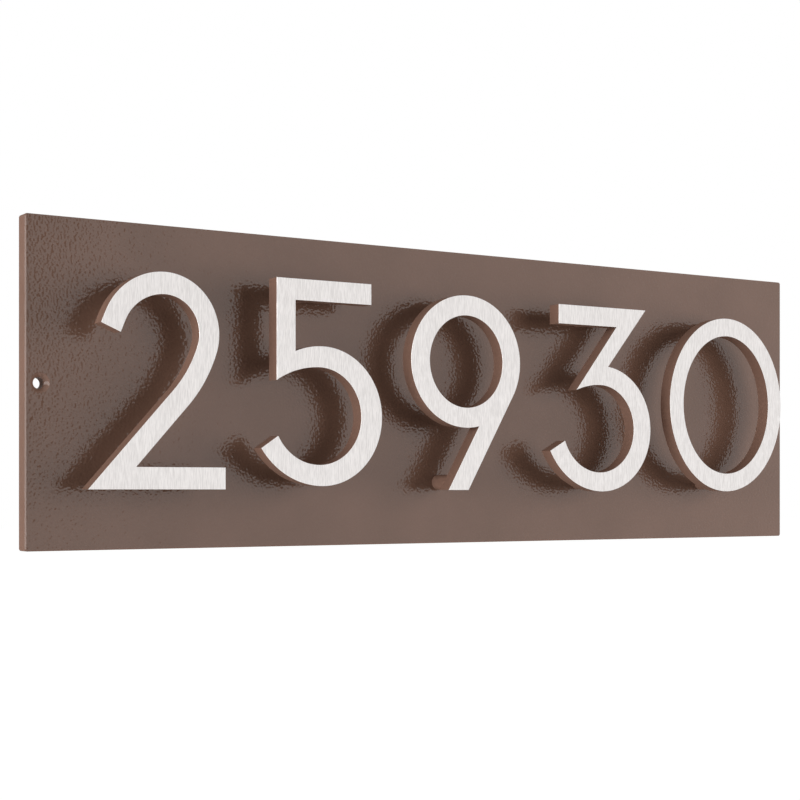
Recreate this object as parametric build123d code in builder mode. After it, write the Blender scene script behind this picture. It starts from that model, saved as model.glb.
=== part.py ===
from build123d import *
from math import acos, asin, cos, degrees, radians, sin, tan
import os

os.makedirs("parts", exist_ok=True)

# House number plaque: five flat numerals held off a painted plate on round posts.
# Millimetres. The origin is the middle of the plate's back, which lies on the wall (Y = 0).
# +X runs along the plate, +Z is up, and the numerals stand out towards -Y.

# Backing plate
plate_w = 471.2
plate_h = 152.4
plate_t = 7.94
plate_corner_r = 1.2
plate_edge = 0.6

# Wall screw holes, one near each end, countersunk from the front
wall_hole_inset = 7.0
wall_hole_d = 5.3
wall_sink_d = 9.2
sink_angle = 90

# Numerals, cut from flat plate
numeral_t = 7.94
numeral_h = 99.4
stroke = 10.2

# Open bowl that the five and the three share
bowl_r = 33.8
bowl_open_r = 40.0
bowl_in_open_r = 25.5
bowl_in_shift = 1.7
bowl_under_r = 43.0

# Two
two_turn_r = 22.4
two_turn_past_angle = 18.0
two_lead_r = 26.1
two_lead_angle = 67.6
two_end_run = 5.7
two_ease_r = 63.0
two_slope_angle = 47.7
two_foot_right = 30.8

# Five
five_stem_left = -25.1
five_bar_right = 27.6
five_tail_out_angle = 56.5
five_tail_in_angle = 62.5

# Nine
nine_side = 11.2
nine_lean_angle = 30.0
nine_tail_w = 10.6

# Three
three_bar_left = -29.9
three_bar_right = 30.2
three_notch_x = 3.8
three_crook_x = 9.7
three_corner_x = -17.9
three_tail_out_angle = 62.5
three_tail_in_angle = 70.0

# Zero
zero_w = 85.2
zero_short = 1.2
zero_stroke = 10.0

# Each numeral's upright axis, as a share of the plate's length from its middle,
# and how far the numeral stands above the plate's middle line
two_share = -0.3762
two_rise = 1.5
five_share = -0.2002
five_rise = 3.1
nine_share = -0.0202
nine_rise = 1.2
three_share = 0.1693
three_rise = 0.4
zero_share = 0.3618
zero_rise = -0.2

# Posts, each fixed to a numeral's back and tapped from behind
post_d = 7.9
post_l = 14.3

# Countersunk machine screws, from the plate's back into the posts
screw_d = 4.0
screw_head_d = 8.0
screw_head_drop = 0.3
screw_grip = 8.0
screw_socket_af = 2.5
screw_socket_depth = 1.4
screw_hole_gap = 0.25
tap_gap = 0.05
tap_end_gap = 1.0
tap_sides = 12

bowl_in_r = bowl_r - stroke
zero_h = numeral_h - zero_short
numeral_back = plate_t + post_l

two_x = two_share * plate_w
two_base = two_rise - numeral_h / 2
five_x = five_share * plate_w
five_base = five_rise - numeral_h / 2
nine_x = nine_share * plate_w
nine_base = nine_rise - numeral_h / 2
three_x = three_share * plate_w
three_base = three_rise - numeral_h / 2
zero_x = zero_share * plate_w
zero_base = zero_rise - zero_h / 2

# The nine's tail: its right edge touches the bowl at a tangent, and its foot is cut level
nine_lean = radians(nine_lean_angle)
nine_foot_right = bowl_r / cos(nine_lean) - (numeral_h - bowl_r) * tan(nine_lean)
nine_foot_left = nine_foot_right - nine_tail_w / cos(nine_lean)
nine_foot_mid = (nine_foot_left + nine_foot_right) / 2

# Two posts behind each numeral: on strokes that run level, and low on the nine's tail
half = stroke / 2
post_r = post_d / 2
seats = {
    "two_upper": (two_x, two_base + numeral_h - half),
    "two_lower": (two_x, two_base + half),
    "five_upper": (five_x, five_base + numeral_h - half),
    "five_lower": (five_x, five_base + half),
    "nine_upper": (nine_x, nine_base + numeral_h - half),
    "nine_lower": (nine_x + nine_foot_mid + post_r * tan(nine_lean), nine_base + post_r),
    "three_upper": (three_x, three_base + numeral_h - half),
    "three_lower": (three_x, three_base + half),
    "zero_upper": (zero_x, zero_base + zero_h - zero_stroke / 2),
    "zero_lower": (zero_x, zero_base + zero_stroke / 2),
}


def numeral_plane(x, base):
    """Back of a numeral, with its origin on the numeral's axis at its foot."""
    return Plane(origin=(x, -numeral_back, base), x_dir=(1, 0, 0), z_dir=(0, -1, 0))


def facing_wall(seat, depth):
    """Plane at a depth in front of the wall that looks back at it."""
    return Plane(origin=(seat[0], -depth, seat[1]), x_dir=(1, 0, 0), z_dir=(0, 1, 0))


def facing_out(seat, depth):
    """Plane at a depth in front of the wall that looks away from it."""
    return Plane(origin=(seat[0], -depth, seat[1]), x_dir=(1, 0, 0), z_dir=(0, -1, 0))


# Backing plate: bevelled front edge, two wall holes, a countersunk hole behind every post
with BuildPart() as plate:
    with BuildSketch(Plane.XZ):
        RectangleRounded(plate_w, plate_h, plate_corner_r)
    extrude(amount=plate_t)
    chamfer(plate.faces().sort_by(Axis.Y)[0].edges(), plate_edge)
    wall_x = plate_w / 2 - wall_hole_inset
    with Locations(facing_out((-wall_x, 0), plate_t), facing_out((wall_x, 0), plate_t)):
        CounterSinkHole(wall_hole_d / 2, wall_sink_d / 2, counter_sink_angle=sink_angle)
    with Locations(*[facing_wall(seat, 0) for seat in seats.values()]):
        CounterSinkHole(
            screw_d / 2 + screw_hole_gap,
            screw_head_d / 2 + screw_head_drop * tan(radians(sink_angle / 2)),
            counter_sink_angle=sink_angle,
        )
plate.part.label = "backing_plate"
export_step(plate.part, "parts/backing_plate.step")


# Two: one stroke of even width from its end over the top and down the slope, then a flat foot
with BuildPart() as two:
    with BuildSketch(numeral_plane(two_x, two_base)):
        slope = radians(two_slope_angle)
        with BuildLine():
            top = (0, numeral_h - half)
            lead = JernArc(top, (-1, 0), two_lead_r, two_lead_angle)
            Line(lead @ 1, lead @ 1 + (lead % 1) * two_end_run)
            turn = JernArc(top, (1, 0), two_turn_r, -90 - two_turn_past_angle)
            ease_angle = 90 - two_slope_angle - two_turn_past_angle
            ease = JernArc(turn @ 1, turn % 1, two_ease_r, -ease_angle)
            down = ease @ 1
            Line(down, down + (ease % 1) * (down.Y + stroke) / sin(slope))
        trace(line_width=stroke)
        foot_left = down.X - (down.Y - half) / tan(slope)
        with Locations((foot_left, 0)):
            Rectangle(two_foot_right - foot_left, stroke, align=Align.MIN)
            Rectangle(numeral_h, numeral_h, align=(Align.CENTER, Align.MAX), mode=Mode.SUBTRACT)
    extrude(amount=numeral_t)
two.part.label = "numeral_two"
export_step(two.part, "parts/numeral_two.step")


# Five: level bar, upright stem and the open bowl
with BuildPart() as five:
    with BuildSketch(numeral_plane(five_x, five_base)):
        with BuildLine():
            stem_right = five_stem_left + stroke
            right = JernArc((0, 0), (1, 0), bowl_r, 180)
            shoulder = JernArc(right @ 1, (-1, 0), bowl_open_r, degrees(asin(-stem_right / bowl_open_r)))
            inner_top = (-bowl_in_shift, 2 * bowl_r - stroke)
            under_run = -five_stem_left - bowl_in_shift
            under = JernArc(inner_top, (-1, 0), bowl_under_r, degrees(asin(under_run / bowl_under_r)))
            Polyline(
                shoulder @ 1,
                (stem_right, numeral_h - stroke),
                (five_bar_right, numeral_h - stroke),
                (five_bar_right, numeral_h),
                (five_stem_left, numeral_h),
                under @ 1,
            )
            inside = JernArc(inner_top, (1, 0), bowl_in_r, -180)
            tail_in = JernArc(inside @ 1, (-1, 0), bowl_in_open_r, -five_tail_in_angle)
            tail_out = JernArc((0, 0), (-1, 0), bowl_open_r, -five_tail_out_angle)
            Line(tail_in @ 1, tail_out @ 1)
        make_face()
    extrude(amount=numeral_t)
five.part.label = "numeral_five"
export_step(five.part, "parts/numeral_five.step")


# Nine: closed bowl with a straight tail that leaves its right side at a tangent
with BuildPart() as nine:
    with BuildSketch(numeral_plane(nine_x, nine_base)):
        bowl_mid = numeral_h - bowl_r
        tail_in_r = bowl_r - nine_tail_w
        with BuildLine():
            Polyline(
                (nine_foot_right, 0),
                (bowl_r * cos(nine_lean), bowl_mid - bowl_r * sin(nine_lean)),
                (tail_in_r * cos(nine_lean), bowl_mid - tail_in_r * sin(nine_lean)),
                (nine_foot_left, 0),
                close=True,
            )
        make_face()
        with Locations((0, bowl_mid)):
            Circle(bowl_r)
            Ellipse(bowl_r - nine_side, bowl_in_r, mode=Mode.SUBTRACT)
    extrude(amount=numeral_t)
nine.part.label = "numeral_nine"
export_step(nine.part, "parts/numeral_nine.step")


# Three: level bar, diagonal and the open bowl
with BuildPart() as three:
    with BuildSketch(numeral_plane(three_x, three_base)):
        with BuildLine():
            right = JernArc((0, 0), (1, 0), bowl_r, 90 + degrees(acos(three_notch_x / bowl_r)))
            inner_top = (-bowl_in_shift, 2 * bowl_r - stroke)
            under_run = -three_corner_x - bowl_in_shift
            under = JernArc(inner_top, (-1, 0), bowl_under_r, degrees(asin(under_run / bowl_under_r)))
            Polyline(
                right @ 1,
                (three_bar_right, numeral_h),
                (three_bar_left, numeral_h),
                (three_bar_left, numeral_h - stroke),
                (three_crook_x, numeral_h - stroke),
                under @ 1,
            )
            inside = JernArc(inner_top, (1, 0), bowl_in_r, -180)
            tail_in = JernArc(inside @ 1, (-1, 0), bowl_in_open_r, -three_tail_in_angle)
            tail_out = JernArc((0, 0), (-1, 0), bowl_open_r, -three_tail_out_angle)
            Line(tail_in @ 1, tail_out @ 1)
        make_face()
    extrude(amount=numeral_t)
three.part.label = "numeral_three"
export_step(three.part, "parts/numeral_three.step")


# Zero: an oval ring
with BuildPart() as zero:
    with BuildSketch(numeral_plane(zero_x, zero_base)):
        with Locations((0, zero_h / 2)):
            Ellipse(zero_w / 2, zero_h / 2)
            Ellipse(zero_w / 2 - zero_stroke, zero_h / 2 - zero_stroke, mode=Mode.SUBTRACT)
    extrude(amount=numeral_t)
zero.part.label = "numeral_zero"
export_step(zero.part, "parts/numeral_zero.step")


# Posts: solid turned lengths, each with a blind tapped hole in the end on the plate.
# The thread stands as a many-sided hole whose flats just clear the screw.
for name, seat in seats.items():
    with BuildPart() as post:
        with BuildSketch(Plane.XZ.offset(plate_t)):
            with Locations(seat):
                Circle(post_r)
        extrude(amount=post_l)
        with BuildSketch(Plane.XZ.offset(plate_t)):
            with Locations(seat):
                RegularPolygon(screw_d / 2 + tap_gap, tap_sides, major_radius=False)
        extrude(amount=screw_grip + tap_end_gap, mode=Mode.SUBTRACT)
    post.part.label = f"post_{name}"
    export_step(post.part, f"parts/post_{name}.step")


# Rear screws: countersunk heads just under the plate's back, hexagon sockets
with BuildPart() as screws:
    screw_l = plate_t - screw_head_drop + screw_grip
    head_l = (screw_head_d - screw_d) / 2 / tan(radians(sink_angle / 2))
    with Locations(*[facing_out(seat, screw_head_drop) for seat in seats.values()]):
        Cylinder(screw_d / 2, screw_l, align=(Align.CENTER, Align.CENTER, Align.MIN))
        Cone(screw_head_d / 2, screw_d / 2, head_l, align=(Align.CENTER, Align.CENTER, Align.MIN))
    with BuildSketch(Plane.XZ.offset(screw_head_drop)):
        with Locations(*seats.values()):
            RegularPolygon(screw_socket_af / 2, 6, major_radius=False)
    extrude(amount=screw_socket_depth, mode=Mode.SUBTRACT)
screws.part.label = "rear_screws"
export_step(screws.part, "parts/rear_screws.step")
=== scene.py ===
# %% [markdown]
# # House number plaque
#
# A long glossy brown plate carries five flat numerals on short round posts, so that they float
# in front of it and are mirrored in its paint. The solids come from the CAD frame. This lesson
# eases the numerals' edges, makes the paint, the brushed faces and the screws' steel, and sets
# up a small white studio. Lengths are in metres.

# %% Load the frame
import math

import bpy
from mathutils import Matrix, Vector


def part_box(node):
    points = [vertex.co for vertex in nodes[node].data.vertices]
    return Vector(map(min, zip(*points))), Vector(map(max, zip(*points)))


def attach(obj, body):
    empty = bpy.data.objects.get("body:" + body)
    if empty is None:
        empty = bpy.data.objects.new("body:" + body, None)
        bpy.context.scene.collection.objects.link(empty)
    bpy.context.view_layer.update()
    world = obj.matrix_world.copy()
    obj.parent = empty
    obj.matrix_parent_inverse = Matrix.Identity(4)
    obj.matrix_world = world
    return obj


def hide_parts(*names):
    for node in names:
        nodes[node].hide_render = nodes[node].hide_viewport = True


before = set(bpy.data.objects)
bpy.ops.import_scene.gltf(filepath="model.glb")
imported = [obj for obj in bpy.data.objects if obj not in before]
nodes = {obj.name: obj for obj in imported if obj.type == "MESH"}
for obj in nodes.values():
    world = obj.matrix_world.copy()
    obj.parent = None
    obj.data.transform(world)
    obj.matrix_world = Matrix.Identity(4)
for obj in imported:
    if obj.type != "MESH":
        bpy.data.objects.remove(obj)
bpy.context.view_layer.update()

# %% [markdown]
# ## Camera
#
# The photograph keeps its upright edges upright, so the camera is level and its lens is shifted
# instead of tilted. It stands to the left of the plate and a little below its middle. Making the
# camera first lets every later step be judged from the right place.

# %% Camera
IMAGE_SIDE = 800
FOCAL_PIXELS = 1659.3
HORIZON_PIXEL = 488.95
CAMERA_PLACE = (-0.4938, -0.7273, -0.0480)
CAMERA_TURN = math.radians(32.48)
UPRIGHT = math.radians(90)
SENSOR_WIDTH = 36.0
NEAREST_SEEN = 0.01

camera_data = bpy.data.cameras.new("photo_camera")
camera_data.sensor_width = SENSOR_WIDTH
camera_data.lens = SENSOR_WIDTH * FOCAL_PIXELS / IMAGE_SIDE
camera_data.shift_y = (HORIZON_PIXEL - IMAGE_SIDE / 2) / IMAGE_SIDE
camera_data.clip_start = NEAREST_SEEN
camera = bpy.data.objects.new("photo_camera", camera_data)
camera.location = CAMERA_PLACE
camera.rotation_euler = (UPRIGHT, 0, -CAMERA_TURN)
bpy.context.scene.collection.objects.link(camera)
bpy.context.scene.camera = camera
print("lens in mm:", round(camera_data.lens, 2), "upward shift:", round(camera_data.shift_y, 4))

# %% [markdown]
# ## A shorthand for shader nodes
#
# Node trees can be wired by hand in the shader editor. In a script, long wiring hides the idea,
# so a value that varies over a surface is wrapped here: ordinary arithmetic on it adds Math
# nodes, and every other node comes from one method that takes its type, settings and sockets.


# %% Values that vary over a surface
class Value:
    """A number, colour or vector that varies over a surface."""

    def __init__(self, tree, socket):
        self.tree = tree
        self.socket = socket

    def maths(self, operation, first, second):
        return self.tree.node("ShaderNodeMath", {"operation": operation}, {0: first, 1: second})

    def __add__(self, other):
        return self.maths("ADD", self, other)

    def __radd__(self, other):
        return self.maths("ADD", other, self)

    def __sub__(self, other):
        return self.maths("SUBTRACT", self, other)

    def __rsub__(self, other):
        return self.maths("SUBTRACT", other, self)

    def __mul__(self, other):
        return self.maths("MULTIPLY", self, other)

    def __rmul__(self, other):
        return self.maths("MULTIPLY", other, self)


print("arithmetic on values is ready")

# %% [markdown]
# The tree itself is emptied first, so that nothing is left of the nodes that Blender puts in.
# The short methods after `node` are the few nodes that every finish here needs.


# %% Node trees
class Tree:
    """A shader node tree, emptied and wired by expressions."""

    def __init__(self, node_tree):
        self.nodes = node_tree.nodes
        self.links = node_tree.links
        self.nodes.clear()

    def node(self, kind, settings=None, sockets=None, output=0):
        made = self.nodes.new(kind)
        for name, setting in (settings or {}).items():
            setattr(made, name, setting)
        for name, given in (sockets or {}).items():
            if isinstance(given, Value):
                self.links.new(given.socket, made.inputs[name])
            else:
                made.inputs[name].default_value = given
        return Value(self, made.outputs[output]) if made.outputs else None

    def place(self):
        """Where on the piece a point is, in metres."""
        return self.node("ShaderNodeTexCoord", output="Object")

    def noise(self, place, cells, detail):
        """Cloudy noise with this many cells to the metre."""
        sockets = {"Vector": place, "Scale": cells, "Detail": detail}
        return self.node("ShaderNodeTexNoise", {}, sockets)

    def ramp(self, value, low, high, to_low=0.0, to_high=1.0):
        """Stretches low..high to to_low..to_high and stops at both ends."""
        sockets = {"Value": value, 1: low, 2: high, 3: to_low, 4: to_high}
        return self.node("ShaderNodeMapRange", {"clamp": True}, sockets)

    def blend(self, share, first, second):
        """A colour between two, by a share."""
        sockets = {0: share, 6: first, 7: second}
        return self.node("ShaderNodeMix", {"data_type": "RGBA"}, sockets, output=2)

    def bump(self, height, distance, strength=1.0):
        """A normal for a surface that rises by this height, times a distance in metres."""
        sockets = {"Strength": strength, "Distance": distance, "Height": height}
        return self.node("ShaderNodeBump", {}, sockets)

    def principled(self, sockets):
        return self.node("ShaderNodeBsdfPrincipled", {}, sockets)

    def diffuse(self, colour):
        return self.node("ShaderNodeBsdfDiffuse", {}, {"Color": colour})

    def mix(self, share, first, second):
        """One shader where the share is 0, and the other where it is 1."""
        return self.node("ShaderNodeMixShader", {}, {0: share, 1: first, 2: second})

    def surface(self, shader):
        self.node("ShaderNodeOutputMaterial", {}, {"Surface": shader})


def new_finish(name):
    """A new material, and its empty tree."""
    material = bpy.data.materials.new(name)
    material.use_nodes = True
    return material, Tree(material.node_tree)


print("node trees are ready")

# %% [markdown]
# ## Brown gloss paint
#
# The plate, the posts and the sides of the numerals are sprayed brown. On flat faces the paint
# is glossy but not smooth: it dried with a fine orange peel, which makes the mirrored numerals
# ragged. On cut edges and posts the metal under it is rougher, so the paint there is satin. Its
# brown is also made lighter there, as painted light on the sides, edges and posts.
# Two materials could be used, but a CAD piece has one slot and its mesh stays as it came. So the
# surface normal tells flat faces from cut edges, and one material mixes gloss and satin. The peel
# is bump from noise on Object coordinates, and other noises cloud the brown and dull the gloss.

# %% Brown gloss paint
PAINT_LIGHT = (0.155, 0.085, 0.060, 1)
PAINT_DARK = (0.136, 0.074, 0.051, 1)
# The satin browns are the gloss browns made lighter: painted light on cut edges and posts.
SATIN_PAINTED_LIGHT_PALE = (0.255, 0.149, 0.111, 1)
SATIN_PAINTED_LIGHT_DEEP = (0.222, 0.129, 0.095, 1)
PAINT_IOR = 1.6
GLOSS_ROUGHNESS = (0.05, 0.09)
SATIN_ROUGHNESS = (0.45, 0.55)
SATIN_SHINE = 0.03
FLAT_FROM, FLAT_TO = 0.62, 0.92
PEEL_CELLS = 840
PEEL_HEIGHT = 0.00014
CLOUD_CELLS = 28
SPECKLE_CELLS = 900
SPECKLE_ON_FLATS = 0.15
SPECKLE_MORE_ON_CUTS = 0.35
DULLING_CELLS = 120
NOISE_LOW, NOISE_MIDDLE, NOISE_HIGH = 0.3, 0.5, 0.7


def cut_edges(tree):
    """1 on cut edges and posts, 0 on flat faces, which look along Y."""
    normal = tree.node("ShaderNodeNewGeometry", output="Normal")
    along_y = tree.node("ShaderNodeSeparateXYZ", {}, {0: normal}, "Y")
    facing = tree.node("ShaderNodeMath", {"operation": "ABSOLUTE"}, {0: along_y})
    return 1 - tree.ramp(facing, FLAT_FROM, FLAT_TO)


def brown_gloss():
    material, tree = new_finish("brown_gloss_paint")
    place = tree.place()
    cut = cut_edges(tree)
    cloud = tree.noise(place, CLOUD_CELLS, detail=3)
    speckle = tree.noise(place, SPECKLE_CELLS, detail=2)
    dulling = tree.noise(place, DULLING_CELLS, detail=2)
    peel = tree.bump(tree.noise(place, PEEL_CELLS, detail=0), PEEL_HEIGHT)
    speckling = SPECKLE_ON_FLATS + SPECKLE_MORE_ON_CUTS * cut
    shade = tree.ramp(cloud + speckling * (speckle - NOISE_MIDDLE), NOISE_LOW, NOISE_HIGH)
    gloss = tree.principled({
        "Base Color": tree.blend(shade, PAINT_DARK, PAINT_LIGHT),
        "Roughness": tree.ramp(dulling, NOISE_LOW, NOISE_HIGH, *GLOSS_ROUGHNESS),
        "IOR": PAINT_IOR,
        "Normal": peel,
    })
    # Lighter satin brown on cut edges and posts: painted light.
    satin_with_painted_light = tree.principled({
        "Base Color": tree.blend(shade, SATIN_PAINTED_LIGHT_DEEP, SATIN_PAINTED_LIGHT_PALE),
        "Roughness": tree.ramp(dulling, NOISE_LOW, NOISE_HIGH, *SATIN_ROUGHNESS),
        "Specular IOR Level": SATIN_SHINE,
        "Normal": peel,
    })
    tree.surface(tree.mix(cut, gloss, satin_with_painted_light))
    return material


paint = brown_gloss()
print("made", paint.name, "with", PEEL_CELLS, "cells of peel to the metre")

# %% [markdown]
# ## Brushed faces
#
# The fronts of the numerals are bare metal, brushed upright. A picture of brushed metal could be
# laid on them, but noise stretched along Z stays sharp at any distance: fine streaks change the
# colour and the roughness a little, and shallow bump breaks the reflection across them.

# %% Brushed metal
METAL_BRIGHT = (0.90, 0.865, 0.849, 1)
METAL_DULL = (0.755, 0.725, 0.711, 1)
METAL_ROUGHNESS = (0.55, 0.46)
STREAK_COLOUR_RANGE = (0.38, 0.62)
STREAK_ROUGHNESS_RANGE = (0.35, 0.65)
STREAK_SQUEEZE = (1, 1, 0.07)
HAIR_CELLS = 3400
HAIR_SHARE = 0.92
BAND_CELLS = 700
BAND_SHARE = 0.08
SCRATCH_DEPTH = 0.00002
SCRATCH_STRENGTH = 0.35


def brushed_metal():
    material, tree = new_finish("upright_brushed_metal")
    sockets = {"Vector": tree.place(), "Scale": STREAK_SQUEEZE}
    drawn = tree.node("ShaderNodeMapping", {}, sockets)
    hair = tree.noise(drawn, HAIR_CELLS, detail=2)
    band = tree.noise(drawn, BAND_CELLS, detail=2)
    streak = HAIR_SHARE * hair + BAND_SHARE * band
    shade = tree.ramp(streak, *STREAK_COLOUR_RANGE)
    tree.surface(tree.principled({
        "Base Color": tree.blend(shade, METAL_DULL, METAL_BRIGHT),
        "Metallic": 1.0,
        "Roughness": tree.ramp(streak, *STREAK_ROUGHNESS_RANGE, *METAL_ROUGHNESS),
        "Normal": tree.bump(streak, SCRATCH_DEPTH, SCRATCH_STRENGTH),
    }))
    return material


metal = brushed_metal()
print("made", metal.name)

# %% [markdown]
# ## Steel of the rear screws
#
# The screws in the plate's back are plain steel. Turning leaves faint marks, and handling leaves
# small dull patches. Both could be drawn on each screw, but at this size two noises that vary
# the colour and the roughness look the same.

# %% Screw steel
STEEL_BRIGHT = (0.56, 0.56, 0.57, 1)
STEEL_DULL = (0.40, 0.40, 0.41, 1)
STEEL_ROUGHNESS = (0.45, 0.28)
WEAR_RANGE = (0.35, 0.65)
PATCH_CELLS = 500
PATCH_SHARE = 0.7
TURNING_CELLS = 3500
TURNING_SHARE = 0.3
TURNING_DEPTH = 0.00003
TURNING_STRENGTH = 0.3


def screw_steel():
    material, tree = new_finish("plain_screw_steel")
    place = tree.place()
    patch = tree.noise(place, PATCH_CELLS, detail=3)
    turning = tree.noise(place, TURNING_CELLS, detail=2)
    wear = PATCH_SHARE * patch + TURNING_SHARE * turning
    tree.surface(tree.principled({
        "Base Color": tree.blend(tree.ramp(wear, *WEAR_RANGE), STEEL_DULL, STEEL_BRIGHT),
        "Metallic": 1.0,
        "Roughness": tree.ramp(wear, *WEAR_RANGE, *STEEL_ROUGHNESS),
        "Normal": tree.bump(turning, TURNING_DEPTH, TURNING_STRENGTH),
    }))
    return material


steel = screw_steel()
print("made", steel.name)

# %% [markdown]
# ## Easing an edge
#
# Each numeral is cut from flat plate, painted, and then brushed on its face, which takes the
# sharpness off its edges. A Bevel modifier could ease them, but it would bevel the outline's own
# upright corners too. Insetting the flat end and pushing its rim back leaves one narrow band that
# follows the outline.

# %% Ease one end
EASE = 0.00008
SAME_PLACE = 1e-6
FLAT_NORMAL_Y = 0.99


def on_level(point, level):
    return abs(point.y - level) < SAME_PLACE


def deselect_all(mesh):
    """Deselects every face, edge and vertex. Works in object mode."""
    for part in [*mesh.vertices, *mesh.edges, *mesh.polygons]:
        part.select = False


def ease_end(piece, level, inwards):
    """Bevels the rim of the flat end at this depth, by insetting it and pushing the rim inwards."""
    mesh = piece.data
    deselect_all(mesh)
    for face in mesh.polygons:
        face.select = on_level(face.center, level) and abs(face.normal.y) > FLAT_NORMAL_Y
    bpy.ops.object.mode_set(mode="EDIT")
    bpy.ops.mesh.select_mode(type="FACE")
    bpy.ops.mesh.inset(thickness=EASE, depth=0, use_even_offset=True, use_boundary=True)
    bpy.ops.object.mode_set(mode="OBJECT")
    inner = {index for face in mesh.polygons if face.select for index in face.vertices}
    deselect_all(mesh)
    for vertex in mesh.vertices:
        vertex.select = on_level(vertex.co, level) and vertex.index not in inner
    bpy.ops.object.mode_set(mode="EDIT")
    bpy.ops.mesh.select_mode(type="VERT")
    bpy.ops.transform.translate(value=(0, inwards * EASE, 0))
    bpy.ops.object.mode_set(mode="OBJECT")


print("edges will be eased by", round(1000 * EASE, 2), "mm")

# %% [markdown]
# ## Numerals
#
# The outline of a numeral in the CAD node is already right, so a copy of it is taken instead of
# drawing the figure again. Its loose triangles are merged, and both ends are eased. The brush
# lays bare the face and its narrow rim, so both get metal, and the sides and back keep the paint.

# %% Numerals with eased edges
NUMERALS = ["two", "five", "nine", "three", "zero"]
SMOOTH_ANGLE = math.radians(25)
FORWARD_NORMAL_Y = -0.5


def merged_copy(node, name):
    """A new piece with a CAD node's mesh, whose triangles share their corners."""
    piece = bpy.data.objects.new(name, nodes[node].data.copy())
    bpy.context.scene.collection.objects.link(piece)
    bpy.ops.object.select_all(action="DESELECT")
    piece.select_set(True)
    bpy.context.view_layer.objects.active = piece
    bpy.ops.object.mode_set(mode="EDIT")
    bpy.ops.mesh.select_all(action="SELECT")
    bpy.ops.mesh.customdata_custom_splitnormals_clear()
    bpy.ops.mesh.remove_doubles(threshold=SAME_PLACE)
    bpy.ops.object.mode_set(mode="OBJECT")
    return piece


def eased_numeral(name):
    node = "numeral_" + name
    low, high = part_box(node)
    piece = merged_copy(node, "eased_" + name)
    ease_end(piece, low.y, inwards=1)
    ease_end(piece, high.y, inwards=-1)
    bpy.ops.object.shade_smooth_by_angle(angle=SMOOTH_ANGLE)
    piece.data.materials.clear()
    piece.data.materials.append(metal)
    piece.data.materials.append(paint)
    for face in piece.data.polygons:
        face.material_index = 0 if face.normal.y < FORWARD_NORMAL_Y else 1
    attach(piece, "root")
    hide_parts(node)
    return piece


for name in NUMERALS:
    piece = eased_numeral(name)
    print(piece.name, len(piece.data.polygons), "faces")

# %% [markdown]
# ## Finishes on the CAD pieces
#
# The plate and the posts are painted, and the screws are bare. Each could be copied and finished
# as a new piece, but their CAD shapes are already right. So only the material in their first slot
# changes, which leaves the mesh as it came.

# %% Dress the CAD pieces
for name, piece in nodes.items():
    if name == "backing_plate" or name.startswith("post_"):
        piece.material_slots[0].material = paint
    elif name == "rear_screws":
        piece.material_slots[0].material = steel
print("dressed the plate, the posts and the screws")

# %% [markdown]
# ## White studio
#
# The picture's background is plain white. A world that lights everything at full strength would
# be white too, but it would bleach the paint. So the world is white to the camera and in
# reflections, and gives softer light to everything else.

# %% World
WHITE = (1, 1, 1, 1)
WORLD_SHOWN = 1.0
WORLD_LIGHT = 0.21


def shown_rays(tree):
    """1 for rays from the camera, a mirror or a clear piece, and 0 for the light on the object."""
    kinds = ["Is Camera Ray", "Is Glossy Ray", "Is Transmission Ray"]
    seen, mirrored, through = [tree.node("ShaderNodeLightPath", output=kind) for kind in kinds]
    return tree.ramp(seen + mirrored + through, 0, 1)


bpy.context.scene.view_settings.view_transform = "Standard"
world = bpy.data.worlds.new("white_studio")
bpy.context.scene.world = world
world.use_nodes = True
tree = Tree(world.node_tree)
soft = tree.node("ShaderNodeBackground", {}, {"Color": WHITE, "Strength": WORLD_LIGHT})
white = tree.node("ShaderNodeBackground", {}, {"Color": WHITE, "Strength": WORLD_SHOWN})
sky = tree.mix(shown_rays(tree), soft, white)
tree.node("ShaderNodeOutputWorld", {}, {"Surface": sky})
print("the world is shown at", WORLD_SHOWN, "and lights the object at", WORLD_LIGHT)

# %% [markdown]
# ## Floor
#
# The plaque hangs on a wall, so the floor lies far below it and is not touched. To the light on
# the object it is a pale floor. To the camera and in reflections it is lifted to near white, so
# that it runs into the background without a line.

# %% Floor
FLOOR_LEVEL = -0.8
FLOOR_SIDE = 60
FLOOR_COLOUR = (0.8, 0.8, 0.8, 1)
FLOOR_SHOWN_COLOUR = (0.3, 0.3, 0.3, 1)
FLOOR_LIFT = 0.95

bpy.ops.object.select_all(action="DESELECT")
bpy.ops.mesh.primitive_plane_add(size=FLOOR_SIDE, location=(0, 0, FLOOR_LEVEL))
floor = bpy.context.active_object
floor.name = "studio_floor"
floor_finish, tree = new_finish("pale_floor")
pale = tree.diffuse(FLOOR_COLOUR)
faint = tree.diffuse(FLOOR_SHOWN_COLOUR)
lift = tree.node("ShaderNodeEmission", {}, {"Color": WHITE, "Strength": FLOOR_LIFT})
lifted = tree.node("ShaderNodeAddShader", {}, {0: faint, 1: lift})
tree.surface(tree.mix(shown_rays(tree), pale, lifted))
floor.data.materials.append(floor_finish)
print("studio floor at", FLOOR_LEVEL, "m")

# %% [markdown]
# ## Lamps
#
# A soft box far to the left lights the numerals' painted sides. It is mirrored as a pale line on
# the plate's left bevel and as a spot in the countersunk hole. A smaller one on the right stands
# where the plate mirrors the camera's view: each numeral then shades the plate where its own
# mirror image lies, and the dark images gain depth. One large lamp in front would light the whole
# evenly, but flatten those images. The right one is kept out of reflections, because the paint and
# the brushed faces would clip to white.


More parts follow.
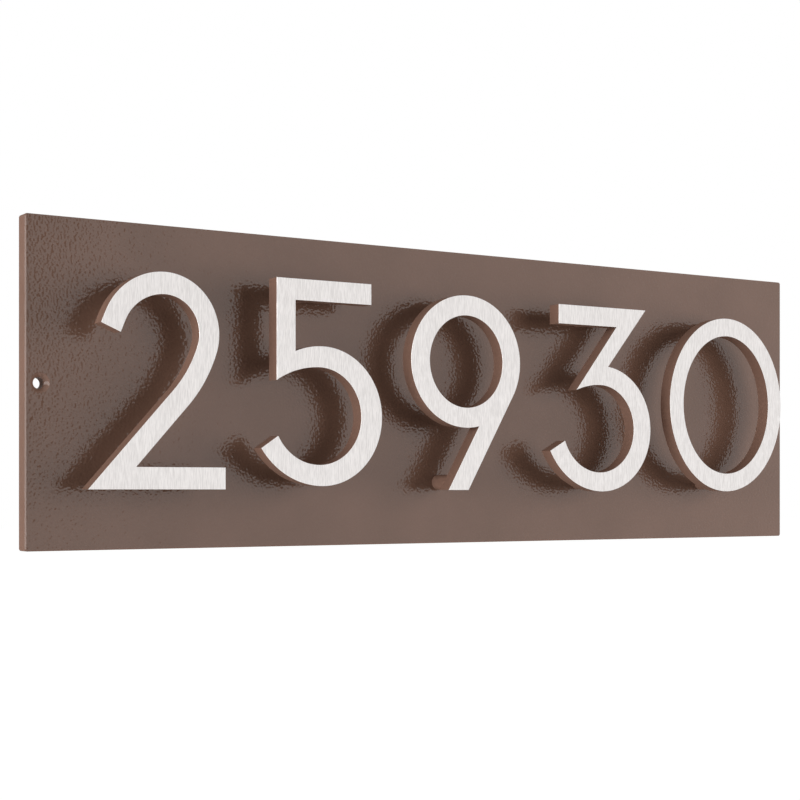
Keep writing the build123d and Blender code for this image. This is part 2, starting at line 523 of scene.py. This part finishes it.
# %% Lamps
def aim_rotation(direction):
    """Turns an object's -Z axis along a direction, keeping its Y axis up."""
    flat = math.hypot(direction[0], direction[1])
    tilt = math.atan2(flat, -direction[2])
    turn = math.atan2(direction[1], direction[0]) - math.pi / 2
    return (tilt, 0, turn)


def soft_box(name, place, width, height, radiance, mirrored):
    """A flat lamp that looks at the middle of the plaque."""
    lamp = bpy.data.lights.new(name, "AREA")
    lamp.shape = "RECTANGLE"
    lamp.size = width
    lamp.size_y = height
    lamp.energy = radiance * math.pi * width * height
    box = bpy.data.objects.new(name, lamp)
    box.location = place
    box.rotation_euler = aim_rotation([-distance for distance in place])
    box.visible_camera = False
    box.visible_glossy = mirrored
    bpy.context.scene.collection.objects.link(box)
    print(name, "gives", round(lamp.energy, 2), "W")


soft_box("left_soft_box", place=(-2.9, -0.75, 0.1),
         width=1.8, height=1.6, radiance=7.0, mirrored=True)
soft_box("right_soft_box", place=(0.64, -0.75, 0.06),
         width=1.2, height=0.6, radiance=3.75, mirrored=False)

# %% [markdown]
# ## Dark card
#
# Orange peel shows best where what it mirrors changes from light to dark. The specks at the left
# end could be painted on, but they would then stay when the view changes. A narrow dark card
# stands so that its edge is mirrored just past the plate's left end, and the peel scatters that
# edge over the plate as small dark specks. Only reflections see the card.

# %% Dark card
CARD_DISTANCE = 1.5
CARD_LEFT = 0.09
CARD_RIGHT = 0.245
CARD_LOW = 0.0
CARD_HIGH = 0.7
CARD_COLOUR = (0.02, 0.018, 0.016, 1)

middle = ((CARD_LEFT + CARD_RIGHT) / 2, -CARD_DISTANCE, (CARD_LOW + CARD_HIGH) / 2)
bpy.ops.object.select_all(action="DESELECT")
bpy.ops.mesh.primitive_plane_add(size=1, location=middle, rotation=(UPRIGHT, 0, 0))
card = bpy.context.active_object
card.name = "dark_card"
card.scale = (CARD_RIGHT - CARD_LEFT, CARD_HIGH - CARD_LOW, 1)
card_finish, tree = new_finish("black_card")
tree.surface(tree.diffuse(CARD_COLOUR))
card.data.materials.append(card_finish)
card.visible_camera = False
card.visible_diffuse = False
card.visible_shadow = False
print("dark card", round(CARD_RIGHT - CARD_LEFT, 3), "m wide")
